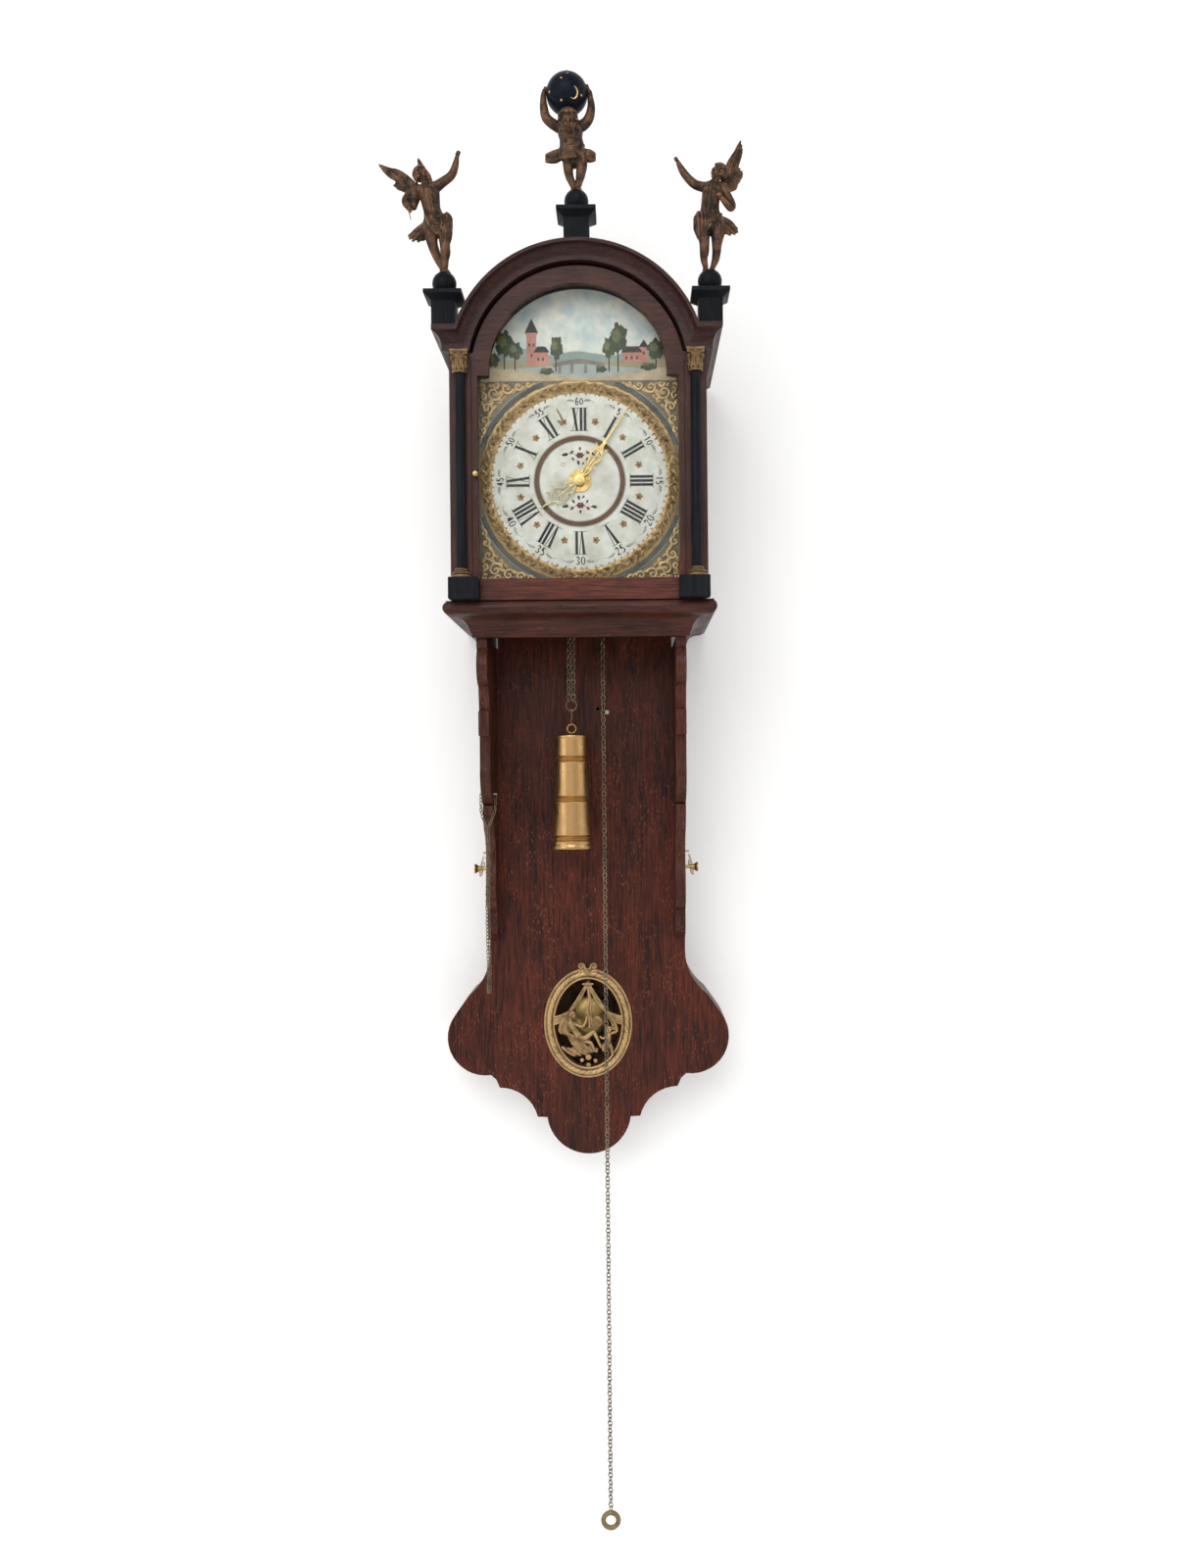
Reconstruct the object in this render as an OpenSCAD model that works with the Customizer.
/* [Tail] */
// Width of the trunk board and of the case between the brackets
trunk_w = 277; // [270:1:285]
// Half width of the tail at its belly
belly_x = 199.5; // [196:0.5:203]
// Height of the foot of the tail below the hang hole
tail_z = -1043.5; // [-1046:0.5:-1040]
// Depth of the shallow box that the pendulum swings in
box_d = 85; // [80:1:92]
// Thickness of the front board
front_t = 12; // [10:1:13]
// Thickness of the back board
back_t = 10; // [8:1:12]
// Height of the pendulum window's centre
oval_z = -858; // [-862:1:-854]
/* [Shelf] */
// Height of the top of the shelf
shelf_z = -282; // [-284:1:-280]
// Thickness of the shelf with its moulding
shelf_h = 44; // [42:1:46]
// Half width of the shelf at its top edge
shelf_x = 177; // [175:1:180]
// How far the shelf reaches from the wall
shelf_y = 262; // [258:1:266]
/* [Hood] */
// Half width of the hood
hood_x = 166; // [165:0.5:167]
// Height of the centre of the arch
arch_z = 12; // [10:1:14]
// Radius of the arched opening in the cornice
arch_r = 141.5; // [141:0.5:143]
// Projection of the cornice
cornice_p = 20; // [16:1:20]
// Height of the cornice's lower edge
cornice_z = 38; // [37:1:40]
// Height of the straight cornice
cornice_h = 31; // [28:1:32]
// Distance from the wall to the front of the hood
hood_y = 258; // [256:1:260]
/* [Dial] */
// Height of the hands' arbor
dial_z = -120; // [-121:1:-119]
// Half width of the square dial plate
dial_x = 133; // [132:0.5:134]
// Distance from the wall to the front of the dial
dial_y = 218; // [216:1:219]
// Length of the minute hand
minute_l = 123; // [118:1:125]
// Length of the hour hand
hour_l = 65; // [60:1:68]
/* [Movement] */
// Distance from the pendulum's suspension to the bob's centre
pendulum_l = 820; // [818:1:822]
// Pitch radius of the chain sprocket
sprocket_r = 21.75; // [21.5:0.05:22]
// Gear module of the going train
gear_m = 1.25; // [1.24:0.01:1.26]
// Diameter of the brass weight at its foot
weight_d = 55; // [50:1:57]
// Length of the brass weight
weight_h = 156; // [150:1:160]
/* [Hidden] */
$fn = 48;
eps = 0.01;
trunk_x = trunk_w / 2;
face_y = -box_d;
shelf_low = shelf_z - shelf_h;
hood_front = -hood_y;
dial_front = -dial_y;
door_t = 16;
door_back = hood_front + door_t;
wall_t = 12;
// Places of the arbors, seen from the front, as [x, z]
centre_at = [0, dial_z];
great_at = [5, dial_z - 49.75];
third_at = [-30, dial_z + 33.2];
escape_at = [0, dial_z + 54];
anchor_at = [0, oval_z + pendulum_l];
minute_at = [-17, dial_z - 17];
alarm_at = [-62, dial_z + 10];
hammer_at = [30, dial_z + 88];
bell_at = [30, -128, dial_z + 134];
pivot_r = 1.5;
minute_turn = 34.3;
hour_turn = 235;
bench_top = dial_z - 98;
plate_front = -170;
plate_back = -104;
plate_t = 3;
cock_y = -42;
chain_y = -150;
chain_top = great_at[1] - 26;
hinge_x = hood_x - 4;
hinge_y = hood_front + 4;
dial_open = 130;
column_r = 6.75;
column_x = 151.5;
column_y = hood_front - column_r;
column_low = -241.6;
column_high = 9;
plinth_top = shelf_z + 28.5;
pedestal_x = 172;
ball_r = 15.7;
ball_places = [
  [-pedestal_x, hood_front + 9.5, cornice_z + cornice_h + 47 + ball_r - 1.5],
  [0, hood_front + 10.5, arch_z + arch_r + 68 + ball_r - 1.5],
  [pedestal_x, hood_front + 9.5, cornice_z + cornice_h + 47 + ball_r - 1.5]
];
globe_at = ball_places[1] + [-11, 2, ball_r + 126.5];
chain_left = great_at[0] - sprocket_r;
chain_right = great_at[0] + sprocket_r;
hook_z = -409;
weight_top = -452;
ring_z = -1528;
pin_z = -637;
pin_y = face_y - 16;
// Width of the arched cornice
arch_band = 24.5;
// Rod through the left bracket that the alarm chain hangs on
alarm_rod_y = face_y - 66;
alarm_rod_z = -532;
wing_seam_left = 173;
wing_seam_right = 134.5;

// Points on a circle's arc in equal steps from angle a to angle b
function arc(c, r, a, b, n) = [
  for (i = [0:n]) let (t = a + (b - a) * i / n) [c[0] + r * cos(t), c[1] + r * sin(t)]
];
// Points on an upright ellipse
function oval(rx, rz, n = 48) = [for (i = [0:n - 1]) let (t = 360 * i / n) [rx * cos(t), rz * sin(t)]];
// Right half of the tail's outline, from the foot up to the trunk
function tail_half() = concat(
  arc([0, tail_z + 59.5], 59.5, -90, -7, 12),
  arc([126, tail_z + 39.5], 55, 166, 90, 8),
  [[131, tail_z + 106]],
  arc([belly_x - 53.5, tail_z + 165.5], 53.5, -98, 36, 14),
  arc([trunk_x + 76, tail_z + 286.5], 76, 233, 180, 9)
);
// Modules of the second and third meshes, from the distance between their arbors
centre_m = norm(third_at - centre_at) / 36;
third_m = norm(escape_at - third_at) / 34;
centre_turn = atan2(third_at[1] - centre_at[1], third_at[0] - centre_at[0]);
weight_x = chain_left;
function mirrored(p) = [for (i = [len(p) - 1:-1:0]) [-p[i][0], p[i][1]]];
function tail_outline() = concat(
  tail_half(), [[trunk_x, shelf_low]], [[-trunk_x, shelf_low]], mirrored(tail_half())
);

// An outline drawn in x and z, made solid from y0 back towards the front at y1
module slab(y0, y1) {
  translate([0, max(y0, y1), 0]) rotate([90, 0, 0]) linear_extrude(abs(y1 - y0)) children();
}
// A round rod along y between two depths
module rod_y(at, r, y0, y1) {
  translate([at[0], max(y0, y1), at[1]]) rotate([90, 0, 0]) cylinder(r = r, h = abs(y1 - y0));
}
module rod_x(x0, x1, y, z, r) {
  translate([min(x0, x1), y, z]) rotate([0, 90, 0]) cylinder(r = r, h = abs(x1 - x0));
}
module both() {
  children();
  mirror([1, 0, 0]) children();
}

module back_board() {
  color("saddlebrown") difference() {
    union() {
      slab(0, -back_t) polygon(tail_outline());
      translate([-125, -back_t, shelf_low]) cube([250, back_t, 60 - shelf_low]);
    }
    rod_y([0, 0], 5, 1, -back_t - 1);
  }
}
module front_board() {
  color("saddlebrown") difference() {
    slab(face_y, face_y + front_t) difference() {
      union() {
        polygon(tail_outline());
        translate([-123, shelf_low - 1]) square([246, 22]);
      }
      wing_zone(-1);
      wing_zone(1);
    }
    translate([0, 0, oval_z]) slab(face_y - 1, face_y + front_t + 1) polygon(oval(46, 61));
    rod_y([18, -413], 2.2, face_y - 1, face_y + front_t + 1);
  }
}
// Part of the outline that is a piece glued to the edge of the front board
module wing_zone(side) {
  if (side < 0) translate([-260, tail_z]) square([260 - wing_seam_left, 300]);
  else translate([wing_seam_right, tail_z]) square([100, 301.5]);
}
module tail_wing(side) {
  color("saddlebrown") slab(face_y, face_y + front_t) intersection() {
    polygon(tail_outline());
    wing_zone(side);
  }
}
module tail_wing_left() {
  tail_wing(-1);
}
module tail_wing_right() {
  tail_wing(1);
}
// Half of the curved wall round the pendulum box
module box_side() {
  color("sienna") slab(-back_t, face_y + front_t) difference() {
    polygon(concat(tail_half(), [[trunk_x, shelf_low]], [[0, shelf_low]]));
    polygon(concat(
      [[-1, tail_z + 8]],
      arc([0, tail_z + 59.5], 51.5, -90, -7, 12),
      arc([126, tail_z + 39.5], 63, 166, 90, 8),
      [[128, tail_z + 114]],
      arc([belly_x - 53.5, tail_z + 165.5], 45.5, -98, 36, 14),
      arc([trunk_x + 76, tail_z + 286.5], 84, 233, 180, 9),
      [[trunk_x - 8, shelf_low + 1]],
      [[-1, shelf_low + 1]]
    ));
  }
}
module box_sides() {
  both() box_side();
}
// Scalloped bracket between the shelf and the trunk, as depth in front of the trunk and height
module bracket() {
  color("sienna") difference() {
    translate([trunk_x - 14, face_y, 0]) rotate([90, 0, 90]) linear_extrude(14) polygon(concat(
      [[0, shelf_low], [-134, shelf_low], [-134, -338]],
      arc([-112, -362], 27, 130, 262, 10),
      [[-108, -421], [-118, -421], [-118, -454], [-104, -454]],
      arc([-64, -504], 42, 165, 226, 8),
      [[-70, -548], [-76, -548], [-76, -560]],
      arc([-84, -622], 46, 62, -18, 9),
      [[-45, -663], [-45, -676]],
      arc([-20, -676], 21, 180, 258, 6),
      [[-27, -708], [-27, -718]],
      arc([-12, -718], 14, 180, 262, 5),
      [[0, -741]]
    ));
    rod_x(trunk_x - 20, trunk_x + 5, pin_y, pin_z, 3.5);
  }
}
module bracket_left() {
  mirror([1, 0, 0]) bracket();
}
module bracket_right() {
  bracket();
}
module shelf_board() {
  color("saddlebrown") difference() {
    translate([-150, -236, shelf_z - 22]) cube([300, 236 - back_t, 22]);
    translate([-66, -78, shelf_z - 30]) cube([132, 60, 40]);
    for (x = [chain_left, chain_right]) translate([x - 7, chain_y - 7, shelf_z - 30]) cube([14, 14, 40]);
    translate([-112, -141, shelf_z - 30]) cube([18, 12, 40]);
  }
}
// Section of the moulding under the hood, as reach and height
function shelf_section() = concat(
  [[-26, shelf_z], [-3, shelf_z]],
  arc([-9, shelf_z - 9], 9, 70, -60, 7),
  [[-10, shelf_z - 19], [-12, shelf_z - 19]],
  arc([-12, shelf_z - 39], 20, 90, 175, 7),
  [[-34, shelf_z - 39], [-34, shelf_low], [-44, shelf_low], [-44, shelf_z - 22.3], [-26, shelf_z - 22.3]]
);
// A moulding with mitred corners round the front and both sides of a case
module mitred(section_x, depth, reach_back) {
  for (side = [-1, 1]) intersection() {
    translate([side * section_x, 0, 0]) mirror([side < 0 ? 1 : 0, 0, 0])
      rotate([90, 0, 0]) linear_extrude(depth) children();
    linear_extrude(1400, center = true) polygon([
      [0, -reach_back],
      [side * (section_x + 1), -reach_back],
      [side * (section_x + 1), -depth - 1],
      [side * section_x, -depth],
      [side * (section_x - 60), -depth + 60],
      [0, -depth + 60]
    ]);
  }
  intersection() {
    translate([-section_x, -depth, 0]) rotate([90, 0, 90])
      linear_extrude(2 * section_x) mirror([1, 0]) children();
    linear_extrude(1400, center = true) polygon([
      [-section_x, -depth],
      [section_x, -depth],
      [section_x - 60, -depth + 60],
      [-section_x + 60, -depth + 60]
    ]);
  }
}
module shelf_moulding() {
  color("saddlebrown") mitred(shelf_x, shelf_y, 0) polygon(shelf_section());
}
// Cast frame over the pendulum window: a beaded rim, a crest, drawn curtains and a seated figure
module oval_ornament() {
  color("goldenrod") translate([0, face_y, oval_z]) {
    slab(0, -3) {
      difference() {
        polygon(oval(62.5, 77));
        polygon(oval(47.5, 62.5));
      }
      both() translate([8, 79.3]) circle(8.3);
      both() polygon([
        [1, 68], [30, 60], [44, 44], [55, 10], [46, -6], [38, 12], [26, 30], [12, 44], [1, 50]
      ]);
      polygon([
        [-54, -22], [-30, -6], [-14, -14], [2, 2], [14, 6], [20, -10], [54, -24],
        [38, -50], [12, -36], [7, -68], [-7, -68], [-12, -38], [-37, -52]
      ]);
      translate([-5, -6]) square([6.5, 66]);
    }
    slab(-2.5, -6) difference() {
      polygon(oval(60, 74.5));
      polygon(oval(51, 66));
    }
    slab(-2.5, -4.5) translate([-14, -22]) circle(8.7);
    slab(-2.5, -4.5) translate([12.3, -23]) circle(9.6);
  }
}
module oval_glass() {
  color("lightblue") translate([0, 0, oval_z])
    slab(face_y + front_t + 0.2, face_y + front_t + 2.2) polygon(oval(52, 67));
}
// Bench that carries the movement over the shelf
module seat_bench() {
  color("peru") {
    difference() {
      translate([-118, -192, bench_top - 10]) cube([236, 106, 10]);
      for (x = [chain_left, chain_right]) translate([x - 8, chain_y - 8, bench_top - 15]) cube([16, 16, 30]);
    }
    both() translate([104, -192, shelf_z]) cube([14, 106, bench_top - 10 - shelf_z]);
  }
}
// A screw head in the trunk, the rod through a bracket for the alarm chain and the staples of the pin chains
module case_hooks() {
  color("dimgray") {
    rod_y([31, -418], 3, face_y + 4, face_y - 3);
    rod_x(-trunk_x - 5, -trunk_x + 19, alarm_rod_y, alarm_rod_z, 1.3);
    both() rod_x(trunk_x - 2, trunk_x + 6, pin_y, pin_z + 22, 1.2);
  }
}
// Chain hung up on both ends of the rod, its two strands joining under the bracket as one plain band
module alarm_chain() {
  color("darkolivegreen") translate([-trunk_x + 7, alarm_rod_y, alarm_rod_z]) {
    for (side = [-1, 1]) {
      limb([side * 10, 0, -3], [side * 9.5, -9, -24], 1.5, 1.5);
      limb([side * 9.5, -9, -24], [side * 1, -15.5, -43], 1.5, 2.5);
    }
    translate([0, -15.5, -271]) cylinder(r = 3, h = 228);
  }
}
module pin_chains() {
  color("darkgoldenrod") both() translate([trunk_x + 5, pin_y + 8, pin_z - 25]) {
    cylinder(r = 1.6, h = 44);
  }
}
// Trumpet-shaped brass peg that locks the trunk to the box
module retaining_pin() {
  color("gold") translate([0, pin_y, pin_z]) rotate([0, 90, 0]) rotate_extrude() polygon([
    [0, trunk_x - 13], [3.45, trunk_x - 13], [3.45, trunk_x + 0.2], [2.6, trunk_x + 1], [2.4, trunk_x + 6],
    [3.4, trunk_x + 11], [6.4, trunk_x + 16], [7, trunk_x + 18], [5.8, trunk_x + 18.6], [0, trunk_x + 17.4]
  ]);
}
module retaining_pin_left() {
  mirror([1, 0, 0]) retaining_pin();
}
module retaining_pin_right() {
  retaining_pin();
}

// Side boards of the hood, which stand on the shelf and carry the cornice
module hood_sides() {
  color("saddlebrown") both() translate([hood_x - wall_t, door_back + 1, shelf_z + 3])
    cube([wall_t, hood_y - door_t - 13, cornice_z - shelf_z - 3]);
}
// Barrel roof over the arch with a flat shoulder on each side
module hood_roof() {
  color("saddlebrown") {
    translate([0, 0, arch_z]) slab(-12, hood_front + 34) difference() {
      circle(r = arch_r + 8, $fn = 96);
      circle(r = arch_r + 2, $fn = 96);
      translate([-200, -200]) square([400, 200 + cornice_z - arch_z]);
    }
    both() translate([arch_r + 1, hood_front + 34, cornice_z]) cube([hood_x - arch_r - 9, hood_y - 46, 6]);
  }
}
// Board behind the cornice with the arched opening that the door closes
module hood_arch_board() {
  color("saddlebrown") slab(door_back + 1, door_back + 17.5) difference() {
    union() {
      translate([0, arch_z]) circle(r = arch_r + 8, $fn = 96);
      translate([-hood_x + 8, cornice_z]) square([2 * hood_x - 16, cornice_h - 2]);
    }
    translate([0, arch_z]) circle(r = 124, $fn = 96);
    translate([-200, -200]) square([400, 200 + cornice_z + 0.05]);
  }
}
// Section of the cornice: reach outwards from the case and height over its lower edge
function cornice_section() = concat(
  [[-8, 0], [8, 0], [8, 3]],
  cove(20),
  [[cornice_p, 24], [cornice_p, cornice_h], [-8, cornice_h]]
);
// Hollow of the cornice as reach and height, rising by h from the lower edge
function cove(h) = [for (t = [8:9:80]) [cornice_p - (cornice_p - 8) * cos(t), 3 + h * sin(t)]];
// Section of the arched cornice: radius and reach towards the front
function arch_section() = concat(
  [[arch_r, -15], [arch_r, 8], [arch_r + 3, 8]],
  [for (c = cove(16.5)) [arch_r + c[1], c[0]]],
  [[arch_r + cornice_p, cornice_p], [arch_r + arch_band, cornice_p], [arch_r + arch_band, -15]]
);
module arched_cornice() {
  translate([0, hood_front, arch_z]) rotate([90, 0, 0]) rotate_extrude($fn = 96) polygon(arch_section());
}
module straight_cornice() {
  translate([0, 0, cornice_z]) mitred(hood_x + cornice_p, hood_y + cornice_p, 14)
    translate([-cornice_p, 0]) polygon(cornice_section());
}
// The arch stops in a mitre against the straight pieces, which go round the front corners
module hood_cornice() {
  seam = cornice_z + cornice_h - 3;
  color("saddlebrown") {
    difference() {
      arched_cornice();
      translate([-200, -hood_y - 40, seam - 300]) cube([400, 80, 300]);
    }
    intersection() {
      arched_cornice();
      straight_cornice();
      translate([-200, -hood_y - 40, seam - 300]) cube([400, 80, 300 + eps]);
    }
    difference() {
      straight_cornice();
      translate([0, hood_front + 45, arch_z]) rotate([90, 0, 0])
        cylinder(r = arch_r + arch_band - 0.01, h = 70, $fn = 96);
    }
  }
}
// Square black block with a cap, as a foot for a finial
module pedestal(x, z, h, half) {
  translate([x, hood_front - 6 + half, z]) {
    translate([-half, -half, 0]) cube([2 * half, 2 * half, h - 12]);
    translate([0, 0, h - 12 - eps]) linear_extrude(7 + 2 * eps, scale = 1 + 9 / half)
      square(2 * half, center = true);
    translate([-half - 9, -half - 9, h - 5]) cube([2 * half + 18, 2 * half + 18, 5]);
  }
}
module pedestals() {
  color("dimgray") {
    pedestal(0, arch_z + arch_r + arch_band, 43.5, 16.5);
    for (side = [-1, 1]) pedestal(side * pedestal_x, cornice_z + cornice_h, 47, 15.5);
  }
}
module finial_balls() {
  color("dimgray") {
    for (p = ball_places) translate(p) intersection() {
      sphere(r = ball_r);
      translate([-30, -30, -ball_r + 1.5]) cube([60, 60, 2 * ball_r - 3]);
    }
  }
}
// A limb that tapers from one place to another
module limb(a, b, ra, rb) {
  hull() {
    translate(a) sphere(r = ra, $fn = 10);
    translate(b) sphere(r = rb, $fn = 10);
  }
}
// Points of a limb as [place, radius], joined one after the other
module limbs(p) {
  for (i = [0:len(p) - 2]) limb(p[i][0], p[i + 1][0], p[i][1], p[i + 1][1]);
}
// Winged figure on its toes, one arm raised and one bent, with a cloth round the hips
module angel_left() {
  color("sienna") translate(ball_places[0] + [4, 0, ball_r - 1.5]) {
    limbs([[[0, 0, 2], 3.5], [[-5, -3, 17], 4], [[-10, -5, 37], 6], [[-14, 0, 66], 10]]);
    limbs([[[3, 2, 5], 3.2], [[-2, 0, 20], 4], [[-4, 1, 37], 6], [[-12, 2, 66], 9]]);
    limbs([[[-13, 0, 66], 11.5], [[-17, -1, 82], 8.5], [[-18, -2, 100], 10.5], [[-20, -2, 112], 7]]);
    limbs([[[-20, -2, 108], 5], [[-27, -6, 121], 4.5], [[-29, -6, 129], 8.5], [[-31, -5, 134], 7.5]]);
    limbs([[[-11, -2, 112], 5.5], [[3, -4, 124], 4.6], [[12, -5, 150], 3.4], [[12, -6, 160], 3]]);
    limbs([[[-27, -2, 108], 5.5], [[-46, 4, 96], 6], [[-47, -4, 80], 4.2], [[-42, -10, 76], 3.6]]);
    limbs([[[-14, -5, 66], 12], [[2, -7, 65], 6], [[-26, 4, 62], 7], [[-49, 6, 51], 2.5]]);
    limbs([[[-22, 8, 104], 5], [[-50, 16, 112], 8], [[-76, 20, 132], 6], [[-92, 22, 148], 1.2]]);
    limbs([[[-22, 9, 100], 5], [[-58, 20, 104], 7], [[-80, 22, 116], 2]]);
    limbs([[[-16, 10, 108], 4], [[-26, 18, 136], 6], [[-36, 20, 152], 1.2]]);
  }
}
module angel_right() {
  color("sienna") translate(ball_places[2] + [-4, 0, ball_r - 1.5]) {
    limbs([[[-3, 0, 1], 3.4], [[-5, -3, 20], 4.6], [[-5, -4, 35], 6], [[-6, 0, 62], 11]]);
    limbs([[[6, 2, 4], 3.2], [[10, 0, 18], 4.4], [[12, 0, 33], 6], [[10, 2, 62], 11]]);
    limbs([[[2, 0, 64], 13], [[3, -1, 80], 10], [[5, -2, 98], 11], [[7, -2, 110], 7]]);
    limbs([[[9, -2, 110], 5], [[12, -5, 118], 5], [[14, -6, 125], 9.5]]);
    limbs([[[-2, -2, 107], 6], [[-24, -4, 117], 4.8], [[-34, -6, 131], 3.6], [[-40, -6, 142], 3]]);
    limbs([[[19, -2, 107], 6], [[26, 0, 96], 5.5], [[32, -2, 82], 5], [[19, -10, 88], 3.6]]);
    limbs([[[12, 3, 62], 8], [[30, 5, 56], 7], [[35, 5, 53], 4]]);
    limbs([[[18, 8, 106], 5], [[28, 14, 120], 8], [[38, 18, 140], 6], [[45, 19, 166], 1.2]]);
    limbs([[[26, 12, 112], 6], [[42, 18, 122], 5.5]]);
    limbs([[[20, 9, 106], 4], [[40, 16, 107], 1.5]]);
  }
}
// Bearded figure that stoops under a globe and holds it with both hands
module atlas_figure() {
  color("sienna") translate(ball_places[1] + [0, 0, ball_r - 1.5]) {
    limbs([[[3, 0, 2], 3.8], [[5, -3, 18], 4], [[-4, -5, 34], 6], [[-6, 0, 54], 9]]);
    limbs([[[-3, 0, 2], 3.8], [[-5, 0, 18], 4], [[7, -3, 32], 6], [[-1, 0, 54], 9]]);
    limbs([[[-4, 0, 55], 12], [[-6, 0, 62], 10], [[-8, -3, 78], 12], [[-9, -3, 88], 9]]);
    limbs([[[-20, -1, 88], 6], [[9, -1, 88], 6]]);
    limbs([[[-9, -9, 84], 5], [[-12, -15, 92], 8.2], [[-12, -17, 97], 7.6]]);
    limbs([[[-20, -1, 88], 5.6], [[-37, -3, 99], 5], [[-45, -2, 116], 3.6], [[-42.5, -2, 131], 3.6]]);
    limbs([[[9, -1, 88], 5.6], [[25, -3, 99], 5], [[25, -2, 118], 3.6], [[20.5, -2, 134], 3.6]]);
    limbs([[[-44, 4, 50], 4], [[-24, -8, 54], 8], [[0, -9, 56], 9], [[22, -2, 50], 6], [[28, 3, 52], 3]]);
  }
}
module globe() {
  color("midnightblue") translate(globe_at) {
    sphere(r = 26.5, $fn = 64);
    translate([0, 0, 24]) cylinder(r1 = 6, r2 = 1, h = 6.5);
  }
}
// The door: a slim frame with an arched head, the stiles beside it and the rail below
module door_frame() {
  color("saddlebrown") difference() {
    slab(hood_front, door_back) difference() {
      union() {
        translate([-hood_x, shelf_z + 0.7]) square([2 * hood_x, cornice_z - shelf_z - 1.4]);
        translate([0, arch_z]) circle(r = arch_r - 4, $fn = 96);
      }
      translate([-dial_open, shelf_z + 28.5]) square([2 * dial_open, arch_z - shelf_z - 32.5]);
      intersection() {
        translate([0, arch_z]) circle(r = 115, $fn = 96);
        translate([-150, arch_z - 5]) square([300, 200]);
      }
    }
    // groove between the stile and the slim inner frame, and the rebate for the glass
    both() translate([137, hood_front - 1, shelf_z + 29]) cube([1.2, 3, cornice_z - shelf_z - 40]);
    slab(door_back - 5, door_back + 1) {
      translate([-dial_open - 3.5, shelf_z + 25]) square([2 * dial_open + 7, arch_z - shelf_z - 25]);
      intersection() {
        translate([0, arch_z]) circle(r = 120, $fn = 96);
        translate([-150, arch_z - 5]) square([300, 200]);
      }
    }
    for (z = [shelf_z, cornice_z - 12]) translate([hinge_x, hinge_y, z]) cylinder(r = 1.55, h = 12);
    translate([hinge_x - 8, hood_front - 1, shelf_z]) cube([20, 20, 3.3]);
  }
}
module door_glass() {
  color("lightblue") slab(door_back - 4.8, door_back - 2.8) {
    translate([-dial_open - 3, shelf_z + 25.5]) square([2 * dial_open + 6, arch_z - shelf_z - 25.5]);
    intersection() {
      translate([0, arch_z]) circle(r = 119.5, $fn = 96);
      translate([-150, arch_z - 1]) square([300, 200]);
    }
  }
}
module columns() {
  color("dimgray") for (side = [-1, 1]) translate([side * column_x, column_y, column_low]) {
    cylinder(r = column_r, h = column_high - column_low);
  }
}
module capitals() {
  color("goldenrod") for (side = [-1, 1]) translate([side * column_x, column_y, column_high]) difference() {
    union() {
      cylinder(r = 9.5, h = 3);
      translate([0, 0, 3 - eps]) cylinder(r1 = 8.4, r2 = 11.5, h = 19);
      translate([-12.2, -9, 22 - 2 * eps]) cube([24.4, 20, cornice_z - 0.7 - column_high - 22 + 2 * eps]);
    }
    translate([-20, hood_front - column_y, -1]) cube([40, 30, 60]);
  }
}
module column_bases() {
  color("goldenrod") for (side = [-1, 1]) translate([side * column_x, column_y, plinth_top]) difference() {
    union() {
      cylinder(r = 13, h = 3.4);
      translate([0, 0, 3.4 - eps]) cylinder(r = 11.5, h = 4.2);
      translate([0, 0, 7.6 - 2 * eps])
        cylinder(r1 = 10, r2 = 7, h = column_low - plinth_top - 7.6 + 2 * eps);
    }
    translate([-20, hood_front - column_y, -1]) cube([40, 30, 60]);
  }
}
// Gilt capitals and bases of both columns
module gilt_caps() {
  capitals();
  column_bases();
}
module plinth_blocks() {
  color("dimgray") both() translate([hood_x - 38, hood_front - 20, shelf_z + 0.7])
    cube([39.5, 20, plinth_top - shelf_z - 0.7]);
}
module door_knob() {
  color("goldenrod") translate([-hood_x + 33.5, hood_front, dial_z]) rotate([90, 0, 0]) rotate_extrude()
    polygon([[0, 0], [1.6, 0], [1.6, 4], [3.6, 7], [3.2, 10], [0, 11]]);
}

// Outline of a toothed wheel of n teeth with slim rounded tips: module m, one tooth at angle a
function teeth(n, m, a, thick = 0.4, top = 0.75, root = 1.25) = [
  for (i = [0:n - 1]) for (k = [
    [-0.62 * thick, -root], [-0.52 * thick, 0], [-0.4 * thick, 0.5 * top], [-0.17 * thick, top],
    [0.17 * thick, top], [0.4 * thick, 0.5 * top], [0.52 * thick, 0], [0.62 * thick, -root]
  ]) let (t = a + 360 * (i + k[0]) / n, r = m * (n / 2 + k[1])) [r * cos(t), r * sin(t)]
];
// Angle of the line from one arbor to another
function bearing(p, q) = atan2(q[1] - p[1], q[0] - p[0]);
// A wheel with four crossed arms
module wheel(at, n, m, a, y, t, hub) {
  rim = m * (n / 2 - 1.25) - 4;
  translate([at[0], 0, at[1]]) slab(y, y - t) difference() {
    polygon(teeth(n, m, a));
    difference() {
      circle(r = rim);
      circle(r = hub + 3);
      for (q = [0, 90]) rotate(a + q) square([2 * rim + 4, 5], center = true);
    }
    circle(r = hub - eps);
  }
}
module pinion(at, n, m, a, y, t) {
  translate([at[0], 0, at[1]]) slab(y, y - t) polygon(teeth(n, m, a, 0.36));
}
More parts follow.
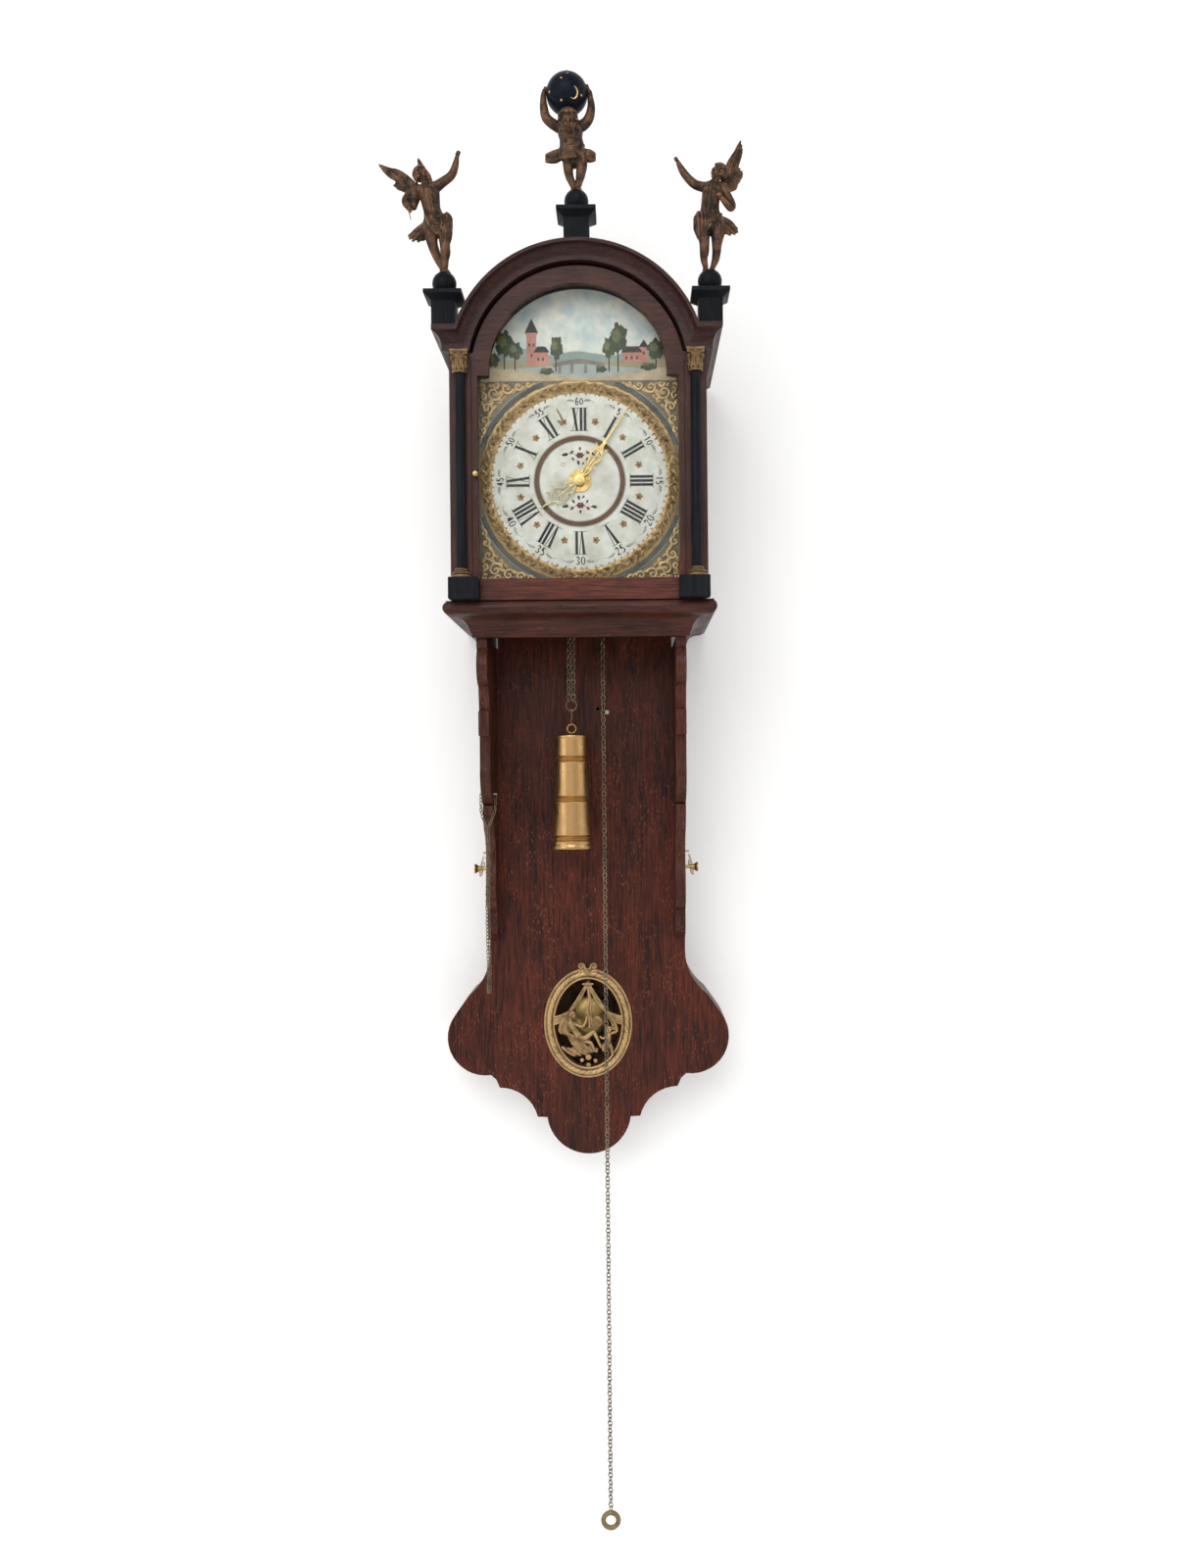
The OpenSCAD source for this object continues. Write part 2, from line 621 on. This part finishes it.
// An arbor with a thinner pivot at each end, which runs in the plates
module arbor(at, r, y0 = plate_back, y1 = plate_front) {
  rod_y(at, r, y0 - 0.3, y1 + 0.3);
  rod_y(at, pivot_r, y0 + plate_t, y1 - plate_t);
}
module dial_plate() {
  color("ivory") {
    difference() {
      slab(dial_front, dial_front + 2) {
        translate([-dial_x, dial_z - dial_x]) square([2 * dial_x, 2 * dial_x]);
        intersection() {
          translate([0, arch_z]) circle(r = 122, $fn = 96);
          translate([-130, arch_z - 5]) square([260, 200]);
        }
      }
      rod_y(centre_at, 7.6, dial_front - 1, dial_front + 3);
    }
    for (x = [-66, 66]) for (z = [dial_z - 92, dial_z + 87])
      rod_y([x, z], 3, dial_front + 2, plate_front - plate_t);
  }
}
module movement_plates() {
  color("goldenrod") for (y = [plate_back + plate_t, plate_front]) difference() {
    slab(y, y - plate_t) difference() {
      translate([-74, bench_top]) square([148, 197]);
      for (p = [centre_at, great_at, third_at, escape_at]) translate(p) circle(r = pivot_r + 0.05);
      translate(anchor_at) circle(r = y > -120 ? 3.5 : pivot_r + 0.05);
      translate(alarm_at) circle(r = pivot_r + 0.05);
      translate(hammer_at) circle(r = pivot_r + 0.05);
    }
  }
}
module plate_pillars() {
  color("goldenrod") for (x = [-66, 66]) for (z = [dial_z - 92, dial_z + 87]) {
    rod_y([x, z], 4, plate_back, plate_front);
    rod_y([x, z], 6, plate_back, plate_back - 4);
    rod_y([x, z], 6, plate_front + 4, plate_front);
  }
  color("goldenrod") rod_y(minute_at, pivot_r, plate_front - plate_t, plate_front - plate_t - 16);
}
module bell_stand() {
  color("dimgray") {
    translate([bell_at[0], bell_at[1], bench_top + 197]) cylinder(r = 3, h = 78);
    translate([bell_at[0] - 8, plate_back - 32, bench_top + 197]) cube([16, 32 + plate_t, 4]);
  }
}
module bell() {
  color("gold") translate(bell_at) rotate_extrude() polygon(concat(
    [[3.05, 36]], arc([0, 0], 36, 84, 8, 10), [[40, 1], [40, 0], [37, 0]],
    arc([0, 0], 33, 8, 84, 10), [[3.05, 33]]
  ));
}
// Iron cock with the clamp that the pendulum's spring hangs from
module suspension_cock() {
  color("dimgray") {
    translate([-9, plate_back + plate_t, anchor_at[1] + 8]) cube([18, cock_y + 5 - plate_back - plate_t, 5]);
    translate([-5, cock_y - 4, anchor_at[1] + 3]) cube([10, 8, 5.01]);
    translate([-4, cock_y - 0.3, anchor_at[1] + 0.6]) cube([8, 0.6, 3]);
  }
}
// A hand in its own plane, which points up: a pierced body and a tip
module hand_blade(l, body, w) {
  difference() {
    polygon(concat(
      [[-1.6, 0], [-w * 0.5, body * 0.22], [-w, body * 0.42]],
      [[-w * 0.55, body * 0.62], [-w * 0.8, body * 0.82], [-1.5, body]],
      [[-0.5, l], [0.5, l]],
      [[1.5, body], [w * 0.8, body * 0.82], [w * 0.55, body * 0.62]],
      [[w, body * 0.42], [w * 0.5, body * 0.22], [1.6, 0]]
    ));
    polygon([[0, body * 0.24], [w * 0.62, body * 0.42], [0, body * 0.58], [-w * 0.62, body * 0.42]]);
    polygon([[0, body * 0.66], [w * 0.4, body * 0.82], [0, body * 0.94], [-w * 0.4, body * 0.82]]);
  }
}
module hand(l, body, w, turn, y, hole) {
  translate([0, 0, dial_z]) slab(y, y - 1.2) difference() {
    union() {
      rotate(-turn) hand_blade(l, body, w);
      circle(r = 7);
    }
    circle(r = hole);
  }
}
module minute_hand() {
  color("goldenrod") hand(minute_l, 60, 7, minute_turn, -224.2, 1.9);
}
module hour_hand() {
  color("silver") hand(hour_l, 56, 12, hour_turn, -221.4, 5.4);
}
module centre_arbor() {
  color("goldenrod") {
    wheel(centre_at, 64, centre_m, centre_turn, -123, 3, 3);
    pinion(centre_at, 8, gear_m, bearing(centre_at, great_at) + 22.5, -134, 10);
    rod_y(centre_at, 3, plate_back - 0.3, plate_front + 0.3);
    rod_y(centre_at, pivot_r, plate_back + plate_t, -226.5);
    pinion(centre_at, 12, 1, 45 + 15, -177, 6);
    rod_y(centre_at, 4, -226.1, -228);
  }
}
module hour_wheel() {
  color("goldenrod") {
    wheel(centre_at, 40, 0.96, 45, -186, 3, 5);
    translate([0, 0, dial_z]) slab(-186, -222.6) difference() {
      circle(r = 5.3);
      circle(r = 2.4);
    }
  }
}
module minute_wheel() {
  color("goldenrod") difference() {
    union() {
      wheel(minute_at, 36, 1, 45, -178, 3, 3);
      pinion(minute_at, 10, 0.96, 45 + 18, -181 + eps, 9);
      rod_y(minute_at, 4.5, -178, -181);
    }
    rod_y(minute_at, pivot_r + 0.06, -170, -195);
  }
}
// Alarm setting disc with its pipe behind the dial
module alarm_disc() {
  color("gold") translate([0, 0, dial_z]) {
    slab(-218.9, -220.4) difference() {
      circle(r = 15);
      circle(r = 5.5);
      for (i = [0:11]) rotate(30 * i) translate([12, 0]) circle(r = 0.7, $fn = 16);
    }
    slab(-196, -219) difference() {
      circle(r = 7.2);
      circle(r = 5.5);
    }
  }
}
module great_wheel() {
  color("goldenrod") {
    wheel(great_at, 72, gear_m, bearing(great_at, centre_at), -138, 4, 3);
    arbor(great_at, 3);
  }
}
module third_wheel() {
  color("goldenrod") {
    pinion(third_at, 8, centre_m, bearing(third_at, centre_at) + 22.5, -119, 11);
    wheel(third_at, 60, third_m, bearing(third_at, escape_at), -112, 3, 2.5);
    arbor(third_at, 2.5);
  }
}
module escape_wheel() {
  color("goldenrod") {
    pinion(escape_at, 8, third_m, bearing(escape_at, third_at) + 22.5, -109, 10);
    translate([escape_at[0], 0, escape_at[1]]) slab(-150, -152) difference() {
      polygon([for (i = [0:29]) for (k = [[0, 17], [0.12, 20], [0.3, 20], [0.55, 17]])
        [k[1] * cos(12 * (i + k[0])), k[1] * sin(12 * (i + k[0]))]]);
      difference() {
        circle(r = 14);
        circle(r = 5);
        for (q = [0, 90]) rotate(q) square([32, 3.5], center = true);
      }
    }
    arbor(escape_at, 2.5);
  }
}
// Anchor over the escape wheel, with the crutch behind the plates
module anchor_and_crutch() {
  color("slategray") {
    translate([anchor_at[0], 0, anchor_at[1]]) slab(-149.5, -152.5) {
      polygon([
        [-26.5, -27], [-23, -10], [-8, 4], [8, 4], [23, -10], [26.5, -27],
        [22.8, -27], [18.5, -12], [7, -4.4], [-7, -4.4], [-18.5, -12], [-22.8, -27]
      ]);
    }
    rod_y(anchor_at, 2.5, -64, plate_front + 0.3);
    rod_y(anchor_at, pivot_r, -66, plate_front - plate_t);
    translate([-2.5, -64, anchor_at[1] - 78]) cube([5, 3, 76]);
    for (x = [-5.2, 2.7]) translate([x, -61 - eps, anchor_at[1] - 78]) cube([2.5, 25, 4]);
    translate([-5.2, -64, anchor_at[1] - 78]) cube([10.4, 3, 4]);
  }
}
module pendulum_rod() {
  color("slategray") {
    translate([-4, cock_y - 0.3, anchor_at[1] - 16]) cube([8, 0.6, 15.4]);
    translate([0, cock_y, oval_z - 48]) cylinder(r = 2.2, h = anchor_at[1] - 12 - oval_z + 48);
  }
}
module pendulum_bob() {
  color("gold") {
    difference() {
      translate([0, cock_y, oval_z]) rotate([90, 0, 0]) rotate_extrude() polygon(concat(
        arc([0, -52], 61, 90, 59, 8), arc([0, 52], 61, -59, -90, 8)
      ));
      translate([0, cock_y, oval_z - 50]) cylinder(r = 2.25, h = 100);
    }
    difference() {
      translate([0, cock_y, oval_z - 45]) cylinder(r = 6, h = 6);
      translate([0, cock_y, oval_z - 50]) cylinder(r = 2.25, h = 20);
    }
  }
}
// Chain sprocket: a grooved drum with spikes that take every second link
module chain_sprocket() {
  color("goldenrod") translate([great_at[0], 0, great_at[1]]) difference() {
    union() {
      slab(chain_y + 5.5, chain_y + 2.6) circle(r = sprocket_r + 3);
      slab(chain_y + 2.7, chain_y - 2.7) circle(r = sprocket_r - 3.2);
      slab(chain_y - 2.6, chain_y - 5.5) circle(r = sprocket_r + 3);
      slab(chain_y + 0.8, chain_y - 0.8) for (i = [0:11]) rotate(30 * i + 15) polygon([
        [15, -2.2], [sprocket_r - 2.8, -1.1], [sprocket_r - 2.2, 0], [sprocket_r - 2.8, 1.1], [15, 2.2]
      ]);
    }
    slab(chain_y + 8, chain_y - 8) circle(r = 3.08);
  }
}
module alarm_arbor() {
  color("goldenrod") {
    arbor(alarm_at, 2.5);
    translate([alarm_at[0], 0, alarm_at[1]]) slab(-128, -142) difference() {
      circle(r = 9);
      circle(r = 2.5 - eps);
    }
    translate([alarm_at[0], 0, alarm_at[1]]) slab(-120, -122) polygon([
      for (i = [0:14]) for (k = [[0, 10], [0.1, 13], [0.3, 13], [0.9, 10]])
        [k[1] * cos(24 * (i + k[0])), k[1] * sin(24 * (i + k[0]))]
    ]);
  }
}
// Alarm hammer on its own arbor, with its head inside the bell
module alarm_hammer() {
  color("slategray") {
    arbor(hammer_at, 2);
    translate([hammer_at[0] - 1.5, -144, hammer_at[1]]) cube([3, 3, bell_at[2] + 12 - hammer_at[1]]);
    translate([hammer_at[0] - 6, -142.5, bell_at[2] + 12]) rotate([0, 90, 0]) cylinder(r = 5, h = 12);
  }
}
module drive_weight() {
  color("goldenrod") translate([weight_x, chain_y, weight_top - weight_h]) rotate_extrude() polygon([
    [0, 1.5], [weight_d / 2 - 3, 1.5], [weight_d / 2 - 2, 0], [weight_d / 2, 0], [weight_d / 2, 5],
    [weight_d / 2 - 1, 6.5], [weight_d / 2 - 2, 20], [weight_d / 2 - 3.4, 60], [weight_d / 2 - 4, 110],
    [weight_d / 2 - 4, weight_h - 6], [weight_d / 2 - 3, weight_h - 5], [weight_d / 2 - 3, weight_h - 1.5],
    [weight_d / 2 - 4.5, weight_h], [0, weight_h]
  ]);
}
module wire_ring(r, wire) {
  rotate_extrude() translate([r, 0]) circle(r = wire);
}
// Ring of the weight, the wire hook in it and the split ring at the end of the chain
module weight_hook() {
  color("goldenrod") translate([weight_x, chain_y, 0]) {
    translate([0, 0, weight_top]) cylinder(r = 2.6, h = 3);
    translate([0, 0, weight_top + 8.6]) rotate([90, 0, 0]) wire_ring(6, 1.4);
    translate([0, 0, weight_top + 23]) rotate([90, 0, 90]) wire_ring(10, 0.9);
    translate([0, 0, weight_top + 40]) rotate([90, 0, 0]) wire_ring(6.8, 0.9);
  }
}
// Stretch of chain between the sprocket and the weight, which is looped up double
module weight_chain() {
  color("darkolivegreen")
    translate([weight_x, chain_y, hook_z + 5]) cylinder(r = 4.5, h = chain_top - hook_z - 5);
}
module return_chain() {
  color("darkolivegreen")
    translate([chain_right, chain_y, ring_z + 13.8]) cylinder(r = 3.2, h = chain_top - ring_z - 13.8);
}
module pull_ring() {
  color("dimgray") translate([chain_right, chain_y, ring_z]) rotate([90, 0, 0])
    rotate_extrude() translate([10.2, 0]) circle(r = 3.5);
}
// Strap under the hood with the lower pin of the door, and the upper pin under the cornice
module hinge_pins() {
  color("goldenrod") {
    translate([hinge_x, hinge_y, shelf_z + 0.2]) cylinder(r = 3.2, h = 2.8);
    translate([hinge_x - 3.2, hinge_y, shelf_z + 0.2]) cube([6.4, 28, 2.8]);
    translate([hinge_x, hinge_y, shelf_z + 3 - eps]) cylinder(r = 1.5, h = 8);
    translate([hinge_x, hinge_y, cornice_z - 11]) cylinder(r = 1.5, h = 11);
    translate([hinge_x, hinge_y, cornice_z - 0.5]) cylinder(r = 3.6, h = 0.5);
  }
}

back_board();
front_board();
tail_wing_left();
tail_wing_right();
box_sides();
bracket_left();
bracket_right();
shelf_board();
shelf_moulding();
oval_ornament();
oval_glass();
seat_bench();
case_hooks();
alarm_chain();
pin_chains();
retaining_pin_left();
retaining_pin_right();
hood_sides();
hood_roof();
hood_arch_board();
hood_cornice();
pedestals();
finial_balls();
angel_left();
angel_right();
atlas_figure();
globe();
hinge_pins();
door_frame();
door_glass();
columns();
gilt_caps();
plinth_blocks();
door_knob();
dial_plate();
movement_plates();
plate_pillars();
bell();
bell_stand();
suspension_cock();
minute_hand();
centre_arbor();
hour_hand();
hour_wheel();
minute_wheel();
alarm_disc();
great_wheel();
third_wheel();
escape_wheel();
anchor_and_crutch();
pendulum_rod();
pendulum_bob();
chain_sprocket();
drive_weight();
weight_hook();
weight_chain();
return_chain();
pull_ring();
alarm_arbor();
alarm_hammer();
